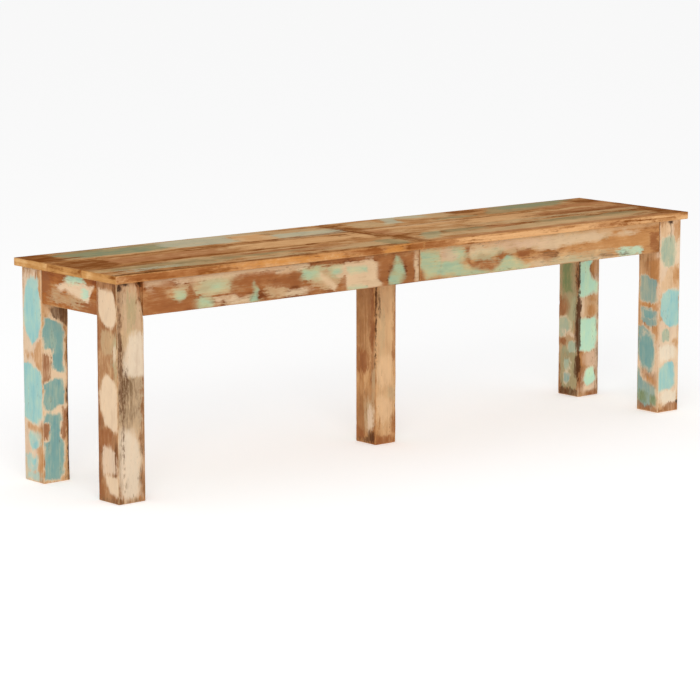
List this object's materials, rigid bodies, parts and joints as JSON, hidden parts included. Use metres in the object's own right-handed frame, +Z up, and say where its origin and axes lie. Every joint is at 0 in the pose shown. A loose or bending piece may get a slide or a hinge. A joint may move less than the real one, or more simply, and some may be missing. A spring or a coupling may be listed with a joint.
{
  "type": "bench",
  "caption": "Backless hall bench in reclaimed timber with a plank seat, plank aprons, corner legs and a centre leg.",
  "frame": {"origin": "on the floor under the middle of the seat", "axes": "+X along the bench to the right, +Y to the back, +Z up"},
  "size_m": [1.6, 0.355, 0.46],
  "materials": {
    "seat_wood": "sanded and lacquered, with worn green, grey and pinkish paint along the grain",
    "apron_wood": "orange-brown, with worn cream and mint paint and brown patches",
    "leg_wood": "tan-brown, with worn cream, turquoise and mint paint",
    "hidden_wood": "bare and rough sawn",
    "zinc": "zinc plated, dull"
  },
  "bodies": {
    "root": {"seat_plank_front_left": "seat_wood", "batten_screw_front_left": "zinc", "seat_plank_middle_left": "seat_wood", "batten_screw_middle_left": "zinc", "seat_plank_rear_left": "seat_wood", "batten_screw_rear_left": "zinc", "seat_batten_left": "hidden_wood", "cross_rail_left": "hidden_wood", "apron_end_left": "apron_wood", "apron_front_left": "apron_wood", "leg_front_left": "leg_wood", "corner_block_front_left": "hidden_wood", "hanger_bolt_front_left": "zinc", "corner_washer_front_left": "zinc", "corner_nut_front_left": "zinc", "apron_rear_left": "apron_wood", "leg_rear_left": "leg_wood", "corner_block_rear_left": "hidden_wood", "hanger_bolt_rear_left": "zinc", "corner_washer_rear_left": "zinc", "corner_nut_rear_left": "zinc", "seat_plank_front_right": "seat_wood", "batten_screw_front_right": "zinc", "seat_plank_middle_right": "seat_wood", "batten_screw_middle_right": "zinc", "seat_plank_rear_right": "seat_wood", "batten_screw_rear_right": "zinc", "seat_batten_right": "hidden_wood", "cross_rail_right": "hidden_wood", "apron_end_right": "apron_wood", "apron_front_right": "apron_wood", "leg_front_right": "leg_wood", "corner_block_front_right": "hidden_wood", "hanger_bolt_front_right": "zinc", "corner_washer_front_right": "zinc", "corner_nut_front_right": "zinc", "apron_rear_right": "apron_wood", "leg_rear_right": "leg_wood", "corner_block_rear_right": "hidden_wood", "hanger_bolt_rear_right": "zinc", "corner_washer_rear_right": "zinc", "corner_nut_rear_right": "zinc", "leg_centre": "leg_wood", "centre_bolt_front": "zinc", "centre_head_washer_front": "zinc", "centre_nut_washer_front": "zinc", "centre_nut_front": "zinc", "centre_bolt_rear": "zinc", "centre_head_washer_rear": "zinc", "centre_nut_washer_rear": "zinc", "centre_nut_rear": "zinc"}
  },
  "joints": []
}
